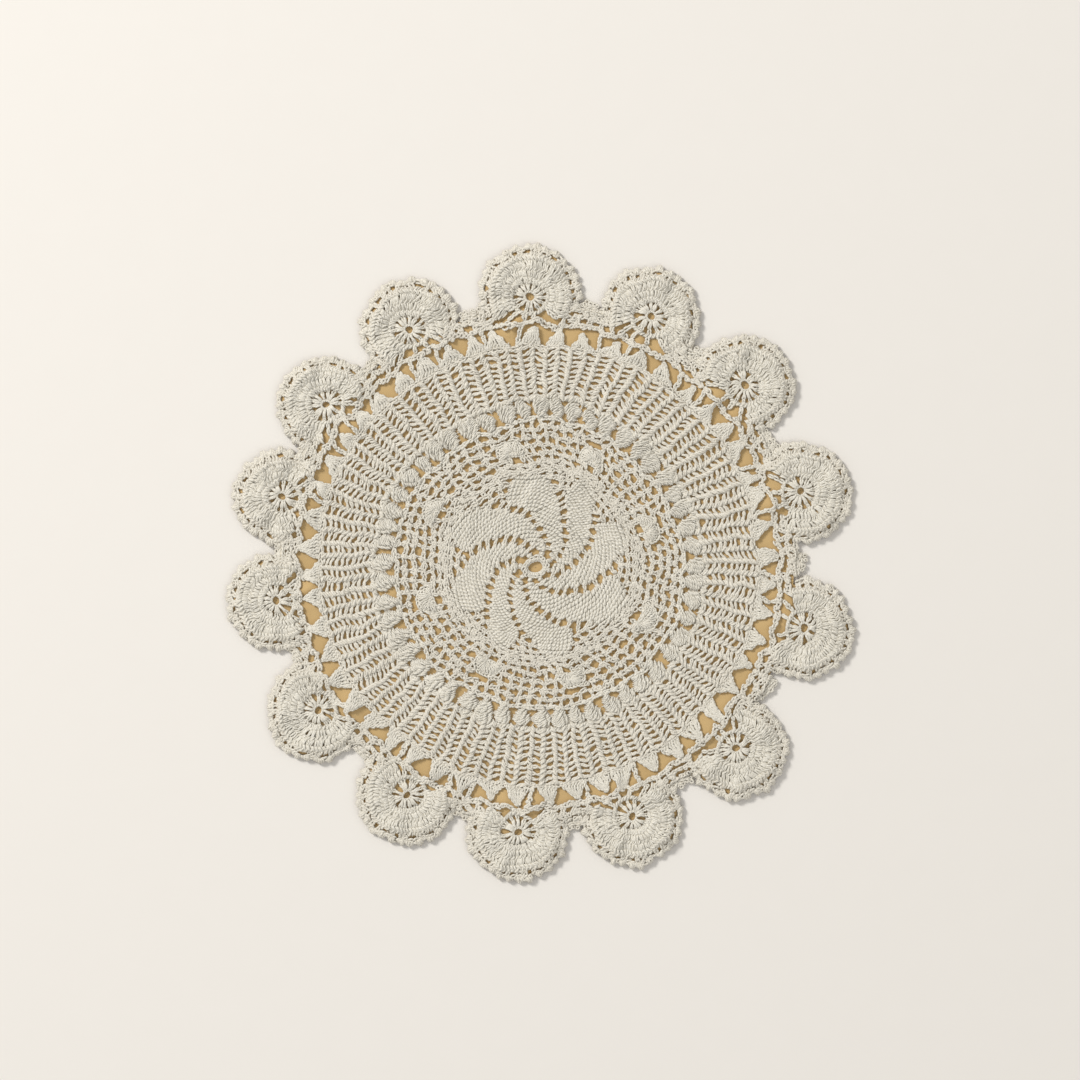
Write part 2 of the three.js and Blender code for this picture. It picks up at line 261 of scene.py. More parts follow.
def twill(yarn, track, pitch=1.5, width=1.7, z=0.6, lift=0.75, radius=0.52, hand=1, dome=0.0):
    """A round of single crochet: plump ovals that all slant the same way."""
    count = max(1, round(track.length / pitch))
    pitch = track.length / count
    u = np.linspace(0, 1, 6)
    middle = ((np.arange(count) + 0.5) * pitch)[:, None] + wobble(0.05, (count, 1))
    z = z + dome * np.sin(math.pi * middle / track.length)
    for shift, drop, thick in ((0.0, 0.0, radius), (-0.42, 0.35, 0.8 * radius)):
        s = middle + shift * pitch + 1.02 * pitch * (u - 0.5)
        side = 0.5 * hand * width * np.sin(math.pi * (u - 0.5)) + wobble(0.05, (count, 1))
        height = z - drop + lift * np.sin(math.pi * u) ** 0.8
        yarn.add_flat(track.at(s, side), height + wobble(0.05, (count, 1)), thick)


def posts(yarn, base, top, z=0.45, lift=0.5, width=0.75, pitch=3.0, bow=0.0, radius=THREAD,
          strands=2):
    """Twisted posts that stand between pairs of points."""
    base, top = np.atleast_2d(base).astype(float), np.atleast_2d(top).astype(float)
    count = max(len(base), len(top))
    base, top = (np.broadcast_to(side, (count, 2)) for side in (base, top))
    run = top - base
    reach = np.hypot(*run.T)
    across = np.column_stack([-run[:, 1], run[:, 0]]) / np.maximum(reach, 1e-9)[:, None]
    steps = int(np.clip(round(reach.mean() / 0.7), 5, 30)) + 1
    u = np.linspace(0, 1, steps)
    start = rng.uniform(0, 2 * math.pi, (count, 1))
    turns = 2 * math.pi * reach[:, None] / pitch * rng.uniform(0.85, 1.15, (count, 1))
    arch = np.sin(math.pi * u)
    bend = (bow + wobble(0.12, (count, 1))) * arch
    for strand in range(strands):
        turn = start + turns * u + 2 * math.pi * strand / strands
        side = width / 2 * np.sin(turn) + bend
        xy = base[:, None] + run[:, None] * u[:, None] + across[:, None] * side[..., None]
        height = z + lift * arch**0.7 + 0.28 * width * (1 + np.cos(turn))
        yarn.add_flat(xy, height, radius)


def rope(yarn, track, pitch=3.2, width=0.8, z=0.7, strands=2, radius=THREAD, step=0.6):
    """Continuous strands twisted round each other along a track."""
    count = max(6, round(track.length / step))
    turns = track.length / pitch
    if track.closed:
        turns = max(1, round(turns))
    u = np.arange(count) / count if track.closed else np.linspace(0, 1, count)
    start = rng.uniform(0, 2 * math.pi)
    for strand in range(strands):
        turn = start + 2 * math.pi * (turns * u + strand / strands)
        xy = track.at(u * track.length, width / 2 * np.sin(turn))
        height = z + 0.3 * width * (1 + np.cos(turn))
        yarn.add_flat(xy[None], height[None], radius, closed=track.closed)


def knots(yarn, middles, size=0.75, z=0.7, radius=0.52):
    """Plump little wraps where stitches are worked together."""
    middles = np.atleast_2d(middles)
    count = len(middles)
    u = np.linspace(0, 1, 8)
    start = rng.uniform(0, 360, (count, 1))
    reach = size * rng.uniform(0.8, 1.2, (count, 1)) * (1 - 0.45 * u)
    turn = np.radians(start + 380 * u)
    xy = middles[:, None] + np.stack([reach * np.cos(turn), reach * np.sin(turn)], -1)
    yarn.add_flat(xy, z + 0.55 * u + wobble(0.06, (count, 1)), radius)


def mesh_of(name, points, starts, corners):
    mesh = bpy.data.meshes.new(name)
    mesh.vertices.add(len(points))
    mesh.vertices.foreach_set("co", points.astype(np.float32).ravel())
    mesh.loops.add(len(corners))
    mesh.loops.foreach_set("vertex_index", corners.astype(np.int32))
    mesh.polygons.add(len(starts))
    mesh.polygons.foreach_set("loop_start", starts.astype(np.int32))
    mesh.polygons.foreach_set("use_smooth", np.ones(len(starts), bool))
    mesh.update(calc_edges=True)
    return mesh


def tubes(batch):
    """Tubes round a batch of strands: corner points, twist, tone, quads and end caps."""
    paths, thick, closed = batch
    paths = lie(paths)
    n, m, _ = paths.shape
    if closed:
        along = np.roll(paths, -1, 1) - np.roll(paths, 1, 1)
    else:
        along = np.gradient(paths, axis=1)
    along /= np.maximum(np.linalg.norm(along, axis=-1, keepdims=True), 1e-9)
    side = np.stack([-along[..., 1], along[..., 0], np.zeros((n, m))], -1)
    side /= np.maximum(np.linalg.norm(side, axis=-1, keepdims=True), 1e-9)
    above = np.cross(along, side)
    taper = np.ones(m)
    if not closed:
        taper[[0, -1]] = 0.55
    turn = 2 * math.pi * (np.arange(SIDES) + 0.5) / SIDES
    reach = (thick[:, None] * taper)[..., None, None]
    ring = side[:, :, None] * np.cos(turn)[:, None] + above[:, :, None] * np.sin(turn)[:, None]
    points = paths[:, :, None] + reach * ring
    travelled = np.linalg.norm(np.diff(paths, axis=1), axis=-1).cumsum(1)
    travelled = np.concatenate([np.zeros((n, 1)), travelled], 1) + rng.uniform(0, 9, (n, 1))
    twist = np.empty((n, m, SIDES, 3))
    twist[..., 0] = travelled[..., None]
    twist[..., 1] = np.cos(turn)
    twist[..., 2] = np.sin(turn)
    tone = np.broadcast_to(rng.uniform(0, 1, (n, 1, 1)), (n, m, SIDES))
    index = np.arange(n * m * SIDES).reshape(n, m, SIDES)
    here, ahead = (index, np.roll(index, -1, 1)) if closed else (index[:, :-1], index[:, 1:])
    quads = np.stack([here, ahead, np.roll(ahead, -1, 2), np.roll(here, -1, 2)], -1)
    caps = [] if closed else [index[:, 0], index[:, -1, ::-1]]
    return points, twist, tone, quads.reshape(-1, 4), caps


def thread_mesh(name, batches):
    points, twists, tones, quads, caps, base = [], [], [], [], [], 0
    for batch in batches:
        corner, twist, tone, quad, cap = tubes(batch)
        points.append(corner.reshape(-1, 3))
        twists.append(twist.reshape(-1, 3))
        tones.append(tone.ravel())
        quads.append(quad + base)
        caps.extend(end + base for end in cap)
        base += tone.size
    points = (np.concatenate(points) + np.append(CENTRE, 0)) * MM
    quads, caps = np.concatenate(quads), np.concatenate(caps) if caps else np.zeros((0, SIDES))
    starts = np.concatenate([
        np.arange(len(quads)) * 4, len(quads) * 4 + np.arange(len(caps)) * SIDES])
    mesh = mesh_of(name, points, starts, np.concatenate([quads.ravel(), caps.ravel()]))
    mesh.attributes.new("twist", "FLOAT_VECTOR", "POINT").data.foreach_set(
        "vector", np.concatenate(twists).astype(np.float32).ravel())
    mesh.attributes.new("tone", "FLOAT", "POINT").data.foreach_set(
        "value", np.concatenate(tones).astype(np.float32))
    return mesh


def panels(yarn):
    """The yarn cut into equal turns round the pinwheel, so that no piece is too heavy."""
    weight = sum(p.shape[0] * p.shape[1] * SIDES * 2 for p, _, _ in yarn.batches)
    count = math.ceil(weight / MAX_TRIANGLES)
    if count == 1:
        return [yarn.batches]
    parts = [[] for _ in range(count)]
    for paths, thick, closed in yarn.batches:
        middle = paths.mean(1)
        turn = np.arctan2(middle[:, 1], middle[:, 0]) / (2 * math.pi) % 1
        for index, part in enumerate(parts):
            mine = np.floor(turn * count) == index
            if mine.any():
                part.append((paths[mine], thick[mine], closed))
    return parts


coverage = []


def piece(node, yarn, material):
    coverage.extend(yarn.batches)
    parts = panels(yarn)
    for index, batches in enumerate(parts):
        name = f"{node}_thread" if len(parts) == 1 else f"{node}_thread_{index + 1}"
        obj = bpy.data.objects.new(name, thread_mesh(name, batches))
        bpy.context.scene.collection.objects.link(obj)
        obj.data.materials.append(material)
        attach(obj, "root")
        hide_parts(node)


# ---------------------------------------------------------------- materials


def node(tree, kind, **settings):
    made = tree.nodes.new(kind)
    for name, value in settings.items():
        setattr(made, name, value)
    return made


def maths(tree, operation, first, second=None, third=None):
    made = node(tree, "ShaderNodeMath", operation=operation)
    for socket, value in zip(made.inputs, (first, second, third)):
        if value is None:
            continue
        if isinstance(value, (int, float)):
            socket.default_value = value
        else:
            tree.links.new(value, socket)
    return made.outputs[0]


def blank_material(name, roughness, specular):
    material = bpy.data.materials.new(name)
    material.use_nodes = True
    tree = material.node_tree
    shader = tree.nodes["Principled BSDF"]
    shader.inputs["Roughness"].default_value = roughness
    shader.inputs["Specular IOR Level"].default_value = specular
    return material, tree, shader


PLIES = 3.0
PLY_TWIST = 5.2
FIBRE_SCALE = 2600
PATCH_SCALE = 42


def cotton_thread(name, light, dark):
    """Plied mercerised cotton: twisted plies, fuzz, strand to strand and patch to patch tone, and
    painted shade that darkens the grooves between the plies.
    """
    material, tree, shader = blank_material(name, 0.6, 0.5)
    link = tree.links.new
    twist = node(tree, "ShaderNodeAttribute", attribute_name="twist")
    tone = node(tree, "ShaderNodeAttribute", attribute_name="tone")
    split = node(tree, "ShaderNodeSeparateXYZ")
    link(twist.outputs["Vector"], split.inputs[0])
    turn = maths(tree, "ARCTAN2", split.outputs["Z"], split.outputs["Y"])
    round_thread = maths(tree, "MULTIPLY", turn, PLIES)
    plies = maths(tree, "MULTIPLY_ADD", split.outputs["X"], PLY_TWIST, round_thread)
    ply_relief_and_groove_shade = maths(tree, "MULTIPLY_ADD", maths(tree, "SINE", plies), 0.5, 0.5)
    where = node(tree, "ShaderNodeTexCoord")
    fibre = node(tree, "ShaderNodeTexNoise")
    fibre.inputs["Scale"].default_value = FIBRE_SCALE
    fibre.inputs["Detail"].default_value = 4
    patch = node(tree, "ShaderNodeTexNoise")
    patch.inputs["Scale"].default_value = PATCH_SCALE
    patch.inputs["Detail"].default_value = 3
    link(where.outputs["Object"], fibre.inputs["Vector"])
    link(where.outputs["Object"], patch.inputs["Vector"])
    shade = maths(tree, "MULTIPLY_ADD", tone.outputs["Fac"], 0.26, 0.2)
    # The ply pattern darkens the colour in the grooves between the plies, which is painted shade;
    # the same pattern also gives the bump.
    shade = maths(tree, "MULTIPLY_ADD", ply_relief_and_groove_shade, 0.2, shade)
    shade = maths(tree, "MULTIPLY_ADD", patch.outputs["Fac"], 0.3, shade)
    ramp = node(tree, "ShaderNodeValToRGB")
    ramp.color_ramp.elements[0].color = (*dark, 1)
    ramp.color_ramp.elements[1].color = (*light, 1)
    ramp.color_ramp.elements[0].position = 0.1
    ramp.color_ramp.elements[1].position = 0.9
    link(shade, ramp.inputs["Fac"])
    link(ramp.outputs["Color"], shader.inputs["Base Color"])
    rough = maths(tree, "MULTIPLY_ADD", fibre.outputs["Fac"], 0.3, 0.36)
    link(rough, shader.inputs["Roughness"])
    height = maths(tree, "MULTIPLY_ADD", fibre.outputs["Fac"], 0.35, ply_relief_and_groove_shade)
    bump = node(tree, "ShaderNodeBump")
    bump.inputs["Strength"].default_value = 0.55
    bump.inputs["Distance"].default_value = 0.00012
    link(height, bump.inputs["Height"])
    link(bump.outputs["Normal"], shader.inputs["Normal"])
    shader.inputs["Sheen Weight"].default_value = 0.25
    shader.inputs["Sheen Roughness"].default_value = 0.5
    shader.inputs["Sheen Tint"].default_value = (0.95, 0.92, 0.84, 1)
    return material


def speckled(name, light, dark, scale, roughness, bump_distance):
    """A matt surface with fine grain, for the cloth's ground and the surfaces under it."""
    material, tree, shader = blank_material(name, roughness, 0.2)
    where = node(tree, "ShaderNodeTexCoord")
    grain = node(tree, "ShaderNodeTexNoise")
    grain.inputs["Scale"].default_value = scale
    grain.inputs["Detail"].default_value = 5
    tree.links.new(where.outputs["Object"], grain.inputs["Vector"])
    ramp = node(tree, "ShaderNodeValToRGB")
    ramp.color_ramp.elements[0].color = (*dark, 1)
    ramp.color_ramp.elements[1].color = (*light, 1)
    ramp.color_ramp.elements[0].position = 0.3
    ramp.color_ramp.elements[1].position = 0.7
    tree.links.new(grain.outputs["Fac"], ramp.inputs["Fac"])
    tree.links.new(ramp.outputs["Color"], shader.inputs["Base Color"])
    bump = node(tree, "ShaderNodeBump")
    bump.inputs["Strength"].default_value = 0.4
    bump.inputs["Distance"].default_value = bump_distance
    tree.links.new(grain.outputs["Fac"], bump.inputs["Height"])
    tree.links.new(bump.outputs["Normal"], shader.inputs["Normal"])
    return material


dense_cotton = cotton_thread("dense_cotton_thread", (0.82, 0.785, 0.70), (0.60, 0.56, 0.47))
open_cotton = cotton_thread("open_cotton_thread", (0.81, 0.77, 0.68), (0.59, 0.545, 0.455))
ground_cotton = speckled(
    "cotton_ground_weave", (0.80, 0.745, 0.65), (0.70, 0.645, 0.55), 1400, 0.95, 0.0003)

# ---------------------------------------------------------------- the pinwheel

SCALLOPS = 14
medallions = [medallion_place(index + 1) for index in range(SCALLOPS)]

BLADES = 8
SPIRAL_START = -88.0
SPIRAL_TWIST = 21.0
LEAD_SIDE = 41.5
TRAIL_SIDE = 36.0
TIP_TURN = 26.0
TIP_RADIUS = 48.4
ROW_PITCH = 2.05
ROW_SLOPE = 0.2


def spiral(row, r):
    return SPIRAL_START + 45 * row + SPIRAL_TWIST * np.sqrt(r)


def beside(row, r, distance):
    """Angle of a point the given distance square to the middle of an eyelet row."""
    slope = math.radians(SPIRAL_TWIST) * 0.5 * np.sqrt(r)
    return spiral(row, r) + np.degrees(distance * np.hypot(1, slope) / r)


def half_turn(angle):
    return (angle + 180) % 360 - 180


def in_blade(index, r, angle, offset):
    turn = half_turn(angle - spiral(index, LEAD_SIDE))
    rise = np.sin(np.radians(90 * np.clip(turn, 0, TIP_TURN) / TIP_TURN))
    under_tip = (turn > 0) & (r <= LEAD_SIDE + (TIP_RADIUS - LEAD_SIDE) * rise)
    leading = np.where(
        r <= LEAD_SIDE, half_turn(angle - beside(index, r, offset)) > 0, under_tip)
    low = beside(index + 1, TRAIL_SIDE, -offset)
    high = spiral(index, LEAD_SIDE) + TIP_TURN
    share = (r - TRAIL_SIDE) / (TIP_RADIUS - TRAIL_SIDE)
    outer = low + (high - low) * share - 8 * share.clip(0) ** 3
    edge = np.where(r <= TRAIL_SIDE, beside(index + 1, r, -offset), outer)
    return leading & (half_turn(edge - angle) > 0)


def runs(inside, least=4):
    """First and last index of each unbroken run of true values."""
    edges = np.flatnonzero(np.diff(np.concatenate([[0], inside.astype(int), [0]])))
    return [(a, b) for a, b in zip(edges[::2], edges[1::2]) if b - a >= least]


def blade(index):
    yarn = Yarn()
    turn = np.arange(-12, 75, 0.5)
    for start in np.arange(6.3, 62, ROW_PITCH):
        r = start * np.exp(ROW_SLOPE * np.radians(turn))
        angle = spiral(index, min(start, LEAD_SIDE)) + turn
        for first, last in runs((r > 6.2) & in_blade(index, r, angle, 2.0), 2):
            row = Track(polar(r, angle)[first:last])
            if row.length > 1.0:
                twill(yarn, row, pitch=1.9, width=1.45, z=0.6, lift=0.8, radius=0.64)
                ends = row.at(np.array([0.2, row.length - 0.2]) + wobble(0.2, 2))
                knots(yarn, ends, size=0.6, z=0.7)
    edge = spiral(index, LEAD_SIDE) + np.arange(3, TIP_TURN + 2, 2.6)
    rise = np.sin(np.radians(90 * (edge - edge[0] + 3).clip(0, TIP_TURN) / TIP_TURN))
    rim = polar(LEAD_SIDE + (TIP_RADIUS - LEAD_SIDE) * rise + 1.0, edge)
    knots(yarn, rim + wobble(0.3, rim.shape), size=0.85)
    piece(f"pinwheel_blade_{index + 1}", yarn, dense_cotton)


EYELET_PITCH = 4.35
# Radius of each arc of chain between two blade tips, and how far along its first post stands.
# The outermost arc is shorter than that, so it has no post.
GUSSET_ARCS = ((40.4, 0.2), (44.3, 0.6), (47.4, 90))
GUSSET_PITCH = 4.3


def eyelet_row(index):
    yarn = Yarn()
    r = np.linspace(6.2, LEAD_SIDE, 300)
    line = Track(polar(r, spiral(index, r)))
    bars = np.arange(4.8, line.length, EYELET_PITCH)
    bars = bars + wobble(0.3, len(bars))
    for s in bars:
        ends = line.at(np.array([s - 0.6, s + 0.6]) + wobble(0.3, 2), np.array([-2.6, 2.6]))
        chain(yarn, Track(np.linspace(*ends, 6)), pitch=1.75, width=1.35, z=0.8, loose=0.12)
    for hand in (-1, 1):
        knots(yarn, line.at(bars + wobble(0.3, len(bars)), hand * 2.4), size=0.7, z=0.8)
    # The gusset between two blade tips.
    last = spiral(index - 1, LEAD_SIDE)
    angle = last + np.arange(15, 60, 0.4)
    for radius, phase in GUSSET_ARCS:
        line = polar(radius + 0.3 * np.sin(angle), angle)
        free = ~in_blade(index - 1, np.full_like(angle, radius), angle, 1.2)
        free &= ~in_blade(index, np.full_like(angle, radius), angle, 1.2)
        for first, last_one in runs(free):
            track = Track(line[first:last_one])
            chain(yarn, track, pitch=1.9, width=1.8, loose=0.14)
            for s in np.arange(2.0 + phase, track.length - 1, GUSSET_PITCH):
                base = track.at(s, -0.3)
                top = track.at(s + wobble(0.4, ()), -4.1)
                chain(yarn, Track(np.linspace(base, top, 5)), pitch=1.9, width=1.6, z=0.65,
                      loose=0.14)
                knots(yarn, np.vstack([base, top]), size=0.85)
    piece(f"eyelet_row_{index + 1}", yarn, open_cotton)


RING_POSTS = 17


def centre_ring():
    yarn = Yarn()
    angle = np.arange(RING_POSTS) * 360 / RING_POSTS + wobble(2, RING_POSTS)
    posts(yarn, polar(3.3, angle), polar(RING_OUTER - 0.4, angle), z=0.7, lift=0.8, width=0.8)
    rope(yarn, ring_track(3.5), pitch=2.2, width=0.8, z=0.8)
    chain(yarn, ring_track(RING_OUTER - 0.9), pitch=1.8, width=1.9, z=1.0, loose=0.14)
    piece("centre_ring", yarn, dense_cotton)


# ---------------------------------------------------------------- mesh and fans

FAN_ANGLE = 17.5
FAN_BASE = 57.0
FAN_RADIUS = 7.4
MESH_ROUNDS = (49.0, 51.6, 55.5, 59.8, 64.2, 68.3)
MESH_PITCH = 5.5
MESH_JITTER = 0.65


def fan_offset(xy):
    """Distance along and across the nearest fan's middle line, from the fan's base."""
    angle = np.degrees(np.arctan2(xy[..., 1], xy[..., 0]))
    turn = np.radians((angle - FAN_ANGLE + 22.5) % 45 - 22.5)
    r = np.hypot(xy[..., 0], xy[..., 1])
    return r * np.cos(turn) - FAN_BASE, r * np.sin(turn)


def in_fan(xy, margin=0.0):
    along, across = fan_offset(xy)
    fan = (np.hypot(along, across) < FAN_RADIUS + margin) & (along > -1)
    eye = (along <= 0) & (along > -3.6) & (np.abs(across) < 2.9 + margin)
    return fan | eye


def netting(yarn, rounds, pitch, jitter, avoid=None, thin=0.0, radius=0.47, width=1.7):
    """Rounds of chain joined by staggered posts, knotted where they meet."""
    for level, inner in enumerate(rounds[:-1]):
        count = round(2 * math.pi * inner / pitch)
        feet = (np.arange(count) + 0.5 * (level % 2)) * 360 / count
        feet = feet + wobble(28 * jitter / inner, count)
        angle = np.arange(0, 360, 90 / inner)
        sag = 0.45 * np.cos(np.radians(angle) * count + level * math.pi)
        around = np.radians(angle) * inner
        sag = sag + jitter * 0.6 * (np.sin(around / 2.3 + level) + np.sin(around / 3.7))
        line = polar(inner + sag, angle)
        free = np.ones(len(line), bool) if avoid is None else ~avoid(line, 0.3)
        if free.all():
            tracks = [Track(line, closed=True)]
        else:
            shift = int(np.flatnonzero(~free)[0])
            line, free = np.roll(line, -shift, 0), np.roll(free, -shift)
            tracks = [Track(line[first:last]) for first, last in runs(free, 6)]
        for track in tracks:
            chain(yarn, track, pitch=2.0, width=width, radius=radius, loose=0.2)
            spots = track.at(np.arange(0.8, track.length, 3.1))
            knots(yarn, spots + wobble(0.5, spots.shape), size=width - 1.1, z=0.9, radius=radius)
        base = polar(inner + 0.3, feet) + wobble(jitter * 0.4, (count, 2))
        top = polar(rounds[level + 1] + 0.3, feet + wobble(50 * jitter / inner, count))
        keep = rng.uniform(0, 1, count) >= thin
        if avoid is not None:
            keep &= ~avoid(base, 0.6) & ~avoid(top, 0.6) & ~avoid((base + top) / 2, 0.6)
        for low, high in zip(base[keep], top[keep]):
            chain(yarn, Track(np.linspace(low, high, 5)), pitch=1.9, width=width - 0.2, z=0.7,
                  radius=radius, loose=0.18)
        spots = np.vstack([base[keep], top[keep]])
        knots(yarn, spots + wobble(jitter * 0.4, spots.shape), size=1.1, z=0.85, radius=radius)


def mesh_ground():
    yarn = Yarn()
    netting(yarn, (*MESH_ROUNDS, MESH_OUTER), MESH_PITCH, MESH_JITTER, in_fan)
    piece("mesh_ground", yarn, open_cotton)


def fan(index):
    yarn = Yarn()
    angle = FAN_ANGLE + 45 * index
    centre = polar(FAN_BASE, angle)
    turns = angle + np.linspace(-84, 84, 13) + wobble(1.5, 13)
    posts(yarn, polar(1.9, turns, centre), polar(6.8, turns, centre), z=0.9, lift=0.9,
          width=0.95, pitch=4.6)
    between = turns[:-1] + 6.5
    posts(yarn, polar(2.4, between, centre), polar(6.2, between, centre), z=0.7, lift=0.6,
          width=0.5, pitch=5)
    chain(yarn, arc_track(7.1, angle - 95, angle + 95, centre), pitch=1.8, width=1.6, z=0.9)
    chain(yarn, arc_track(1.4, angle - 95, angle + 95, centre), pitch=1.7, width=1.4, z=1.1)
    out, across = direction(angle), direction(angle + 90)
    for hand in (-1, 1):
        foot = centre + across * hand * 2.9 - out * 3.6
        head = centre + across * hand * 3.7 + out * 0.1
        chain(yarn, Track(np.linspace(foot, head, 6)), pitch=1.8, width=1.7, z=0.8)
    base = Track(np.linspace(centre - across * 7.2, centre + across * 7.2, 12) - out * 0.1)
    chain(yarn, base, pitch=1.8, width=1.4, z=0.7)
    piece(f"fan_motif_{index + 1}", yarn, dense_cotton)


# ---------------------------------------------------------------- shells, ribs, points

SHELLS = 52
SHELL_ROW = 1.02
RIBS = 2 * SHELLS
RUNGS = 10
RUNG_SLANT = 1.9


def smooth_line(corners, count=28):
    place = np.linspace(0, len(corners) - 1, count)
    return np.column_stack([
        np.interp(place, np.arange(len(corners)), np.asarray(corners)[:, axis])
        for axis in (0, 1)])


def shell_round():
    yarn = Yarn()
    angle = np.arange(0, 360, 1.0)
    wave = 0.5 * np.sin(np.radians(13 * angle)) + 0.5 * np.sin(np.radians(31 * angle + 60))
    line = Track(polar(MESH_OUTER + 0.7 + wave, angle), closed=True)
    chain(yarn, line, width=1.8, z=0.9, radius=0.56, loose=0.2)
    spots = line.at(np.arange(0, line.length, 3.3))
    knots(yarn, spots + wobble(0.5, spots.shape), size=0.9, z=0.9)
    twill(yarn, ring_track(SHELL_OUTER - 1.4), pitch=1.8, width=1.8, z=0.5)
    for index in range(SHELLS):
        angle = index * 360 / SHELLS + wobble(0.4, ())
        out, across = direction(angle), direction(angle + 90)
        foot = polar(MESH_OUTER + 0.8, angle)
        plump, tall = rng.uniform(3.6, 4.3), rng.uniform(9.0, 10.6)
        lean, share = rng.uniform(-0.12, 0.12), np.linspace(-1, 1, 9)
        for height in np.arange(rng.uniform(1.0, 1.5), tall, SHELL_ROW):
            half = plump * (0.05 + 0.95 * math.sin(0.6 * math.pi * height / tall))
            half *= rng.uniform(0.9, 1.1)
            row = foot + out * (height - 1.7 * height / tall * share[:, None] ** 2)
            row = row + across * (half * share + lean * height + wobble(0.25, ()))[:, None]
            twill(yarn, Track(row), pitch=2.3, width=1.2, z=0.5, lift=0.5, radius=0.47, dome=1.2)
        knots(yarn, foot[None] + wobble(0.1, (1, 2)), size=1.0, z=0.9)
    piece("shell_round", yarn, dense_cotton)


def rib_round():
    yarn = Yarn()
    inner = SHELL_OUTER - 2.2
    pitch = (RIB_OUTER - inner) / RUNGS
    gap = 360 / RIBS
    for index in range(RIBS):
        angle = (index + 0.25) * gap + wobble(0.1, ())
        r = np.linspace(inner, RIB_OUTER - 0.4, 24)
        sway = np.degrees(0.28 * np.sin(r * 0.55 + index) / r)
        twill(yarn, Track(polar(r, angle + sway)), pitch=2.5, width=2.1, z=0.8, lift=0.9,
              radius=0.66, hand=1 if index % 2 else -1)
    rung = inner + (np.arange(RUNGS) + 0.65) * pitch
    for index in range(RIBS):
        slant = RUNG_SLANT * (1 if index % 2 else -1)
        angle = (index + 0.25) * gap
        low = polar(rung - slant / 2 + wobble(0.25, RUNGS), angle)
        high = polar(rung + slant / 2 + wobble(0.25, RUNGS), angle + gap)
        for hand in (-1, 1):
            foot = low + direction(angle) * 0.55 * hand
            posts(yarn, foot, high, z=0.35, lift=0.45, width=0.5, pitch=3.6, radius=0.6,
                  strands=1)
        knots(yarn, low + (high - low) * 0.06 + wobble(0.15, low.shape), size=0.85, z=1.1)
    chain(yarn, ring_track(RIB_OUTER - 0.1), pitch=1.9, width=1.7, z=0.8, loose=0.12)
    piece("rib_round", yarn, open_cotton)


def point_round():
    yarn = Yarn()
    for index in range(SHELLS):
        angle = (index + 0.25) * 360 / SHELLS + wobble(0.3, ())
        out, across = direction(angle), direction(angle + 90)
        foot = polar(RIB_OUTER + 0.5, angle)
        skew, tall = rng.uniform(-2.8, 2.8), rng.uniform(7.2, 9.4)
        share = np.linspace(-1, 1, 6)
        height = tall * (1 - np.abs(share) ** 2 * rng.uniform(0.0, 0.35))
        wide, blunt = rng.uniform(3.5, 4.9), rng.uniform(0.8, 1.9)
        base = foot + across * (wide * share)[:, None] + out * 1.0
        head = foot + out * height[:, None]
        head = head + across * (blunt * share + skew * height / tall)[:, None]
        twill(yarn, Track(base), pitch=1.6, width=1.9, z=0.6)
        posts(yarn, base, head, z=0.7, lift=0.7, width=0.65, pitch=4.4, radius=0.48)
        edge = smooth_line([foot - across * (wide + 0.8), *head, foot + across * (wide + 0.8)])
        edge = Track(edge + wobble(0.25, edge.shape))
        chain(yarn, edge, pitch=2.0, width=1.6, radius=0.52, loose=0.18)
        knots(yarn, edge.at(np.arange(1.0, edge.length, 3.4)), size=0.8, z=0.9)
        # An arm of chain from the gap between two points out to the net.
        if rng.uniform(0, 1) < 0.4:
            gap = foot + across * 6.6
            ends = gap, gap + out * 11 + across * rng.uniform(-4, 3)
            arm = Track(np.linspace(*ends, 8) + wobble(0.3, (8, 2)))
            chain(yarn, arm, pitch=2.0, width=1.8, radius=0.54, loose=0.18)
            knots(yarn, arm.at(np.arange(1.0, arm.length, 3.0)), size=0.8, z=0.9)
        knots(yarn, (foot + out * tall + across * skew)[None], size=0.95, z=0.8)
    piece("point_round", yarn, dense_cotton)


def in_medallion(xy, margin=0.0):
    """Where a medallion's own plaits take the place of the net."""
    inside = np.zeros(xy.shape[:-1], bool)
    for centre, radius in medallions:
        inside |= np.hypot(*(xy - centre).T) < radius - 8 + margin
    return inside & (np.hypot(*xy.T) > NET_OUTER - 1)


NET_ROUNDS = (POINT_OUTER + 0.8, POINT_OUTER + 5.2, NET_OUTER + 4.2)
NET_PITCH = 6.2
NET_JITTER = 1.2


def net_round():
    yarn = Yarn()
    netting(yarn, NET_ROUNDS, NET_PITCH, NET_JITTER, in_medallion, thin=0.14, radius=0.58,
            width=2.2)
    for index, (centre, radius) in enumerate(medallions):
        other, other_radius = medallions[(index + 1) % len(medallions)]
        middle = (centre * other_radius + other * radius) / (radius + other_radius)
        reach = np.hypot(*middle)
        out = middle / reach
        across = np.array([-out[1], out[0]])
        for r in np.arange(NET_OUTER + 2.6, reach + 2.2, 1.7):
            room = 9.0 * (1 - (r - NET_OUTER) / (reach + 3.5 - NET_OUTER)) ** 0.8 + 0.8
            spots = np.arange(-room, room + 0.1, 1.75)
            where = out * r + across * spots[:, None] + wobble(0.4, (len(spots), 2))
            knots(yarn, where[rng.uniform(0, 1, len(where)) > 0.08], size=1.1, z=0.75)
        for r in (NET_OUTER + 3.4, reach - 0.5):
            room = 8.5 if r < reach - 2 else 3.2
            line = Track(np.linspace(out * r - across * room, out * r + across * room, 8))
            chain(yarn, line, pitch=2.0, width=1.9, z=1.0, loose=0.16)
    piece("net_round", yarn, open_cotton)


# ---------------------------------------------------------------- scalloped edge

EYE_RADIUS = 2.5
SPOKES = 14
# A medallion is trebles up to this far either side of straight outward, and plaits beyond.
TREBLE_SWEEP = 124.0


